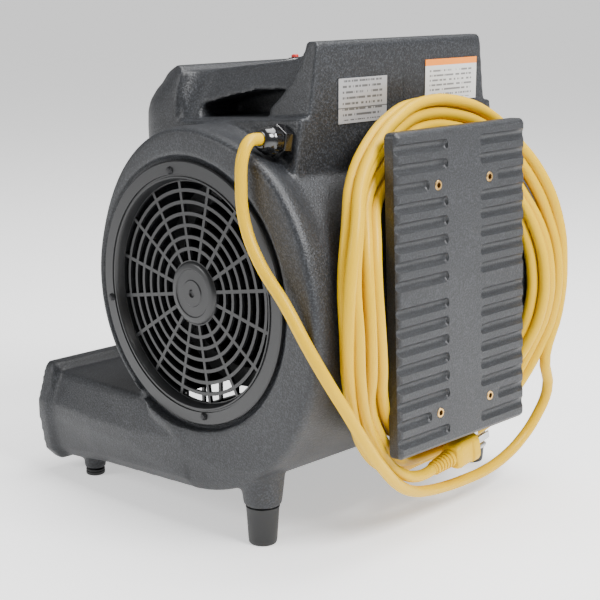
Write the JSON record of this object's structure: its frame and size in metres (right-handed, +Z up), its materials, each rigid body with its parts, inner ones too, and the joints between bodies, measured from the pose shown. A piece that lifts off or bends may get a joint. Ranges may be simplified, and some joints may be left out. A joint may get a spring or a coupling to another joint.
{
  "type": "air mover",
  "caption": "Portable centrifugal air mover: plastic blower housing in two halves, side inlet grilles, low front outlet, carry handle, rear cord-wrap plate with coiled mains cord.",
  "frame": {"origin": "on the floor under the middle of the machine: x = 0 is the parting plane of the two housing halves, z = 0 is the floor under the four feet", "axes": "+Z up, the air leaves along -Y, +Y is the back with the cord plate, +X is the side with the cord gland; the fan turns about X"},
  "size_m": [0.357, 0.3814, 0.418],
  "materials": {
    "housing_plastic": "textured charcoal polyethylene",
    "plate_plastic": "textured charcoal plastic",
    "grille_plastic": "smooth satin dark grey",
    "wheel_plastic": "satin black",
    "switch_plastic": "black, semi-gloss",
    "gland_nylon": "black nylon, glossy",
    "foot_rubber": "smooth black rubber",
    "cord_jacket": "yellow PVC jacket, satin",
    "brass": "turned brass",
    "zinc_steel": "zinc-plated steel",
    "black_screw": "black oxide",
    "motor_paint": "black enamel",
    "cast_alloy": "cast, matt",
    "capacitor_can": "drawn can, satin",
    "reset_red": "red, semi-gloss",
    "silver_label": "printed foil, satin",
    "white_label": "printed film, satin"
  },
  "bodies": {
    "machine": {"housing_left": "housing_plastic", "housing_right": "housing_plastic", "cord_wrap_plate": "plate_plastic", "inlet_grille_left": "grille_plastic", "inlet_grille_right": "grille_plastic", "speed_switch_body": "switch_plastic", "reset_breaker": "switch_plastic", "outlet_guard": "switch_plastic", "gland_body": "gland_nylon", "gland_nut": "gland_nylon", "gland_locknut": "gland_nylon", "foot_back_left": "foot_rubber", "foot_back_right": "foot_rubber", "foot_front_left": "foot_rubber", "foot_front_right": "foot_rubber", "power_cord": "cord_jacket", "cord_coil": "cord_jacket", "cord_tail": "cord_jacket", "plug_body": "cord_jacket", "plug_strain_relief": "cord_jacket", "plate_insert_top_left": "brass", "plate_insert_top_right": "brass", "plate_insert_bottom_left": "brass", "plate_insert_bottom_right": "brass", "motor_bracket": "zinc_steel", "motor_bolt_1": "zinc_steel", "motor_bolt_2": "zinc_steel", "motor_bolt_3": "zinc_steel", "motor_bolt_4": "zinc_steel", "breaker_nut": "zinc_steel", "foot_screw_back_left": "zinc_steel", "foot_screw_back_right": "zinc_steel", "foot_screw_front_left": "zinc_steel", "foot_screw_front_right": "zinc_steel", "plug_blade_1": "zinc_steel", "plug_blade_2": "zinc_steel", "plug_ground_pin": "zinc_steel", "grille_screw_left_1": "black_screw", "grille_screw_left_2": "black_screw", "grille_screw_left_3": "black_screw", "grille_screw_left_4": "black_screw", "grille_screw_right_1": "black_screw", "grille_screw_right_2": "black_screw", "grille_screw_right_3": "black_screw", "grille_screw_right_4": "black_screw", "motor_body": "motor_paint", "motor_bell_front": "cast_alloy", "motor_bell_back": "cast_alloy", "motor_capacitor": "capacitor_can", "rating_label": "silver_label", "warning_label": "white_label", "control_label": "white_label"},
    "blower": {"blower_wheel": "wheel_plastic", "motor_shaft": "zinc_steel"},
    "rocker": {"speed_rocker": "switch_plastic"},
    "button": {"reset_button": "reset_red"}
  },
  "joints": [
    {"name": "fan_spin", "type": "hinge", "parent": "machine", "child": "blower", "pos_m": [0, 0.02, 0.2085], "axis": [1, 0, 0], "continuous": true},
    {"name": "speed_rock", "type": "hinge", "parent": "machine", "child": "rocker", "pos_m": [-0.026, 0.01026, 0.39258], "axis": [1, 0, 0], "range_deg": [-8, 8]},
    {"name": "reset_press", "type": "slide", "parent": "machine", "child": "button", "axis": [0, 0.1281, -0.9918], "range_m": [0, 0.002], "stiffness_N_per_m": 400}
  ]
}
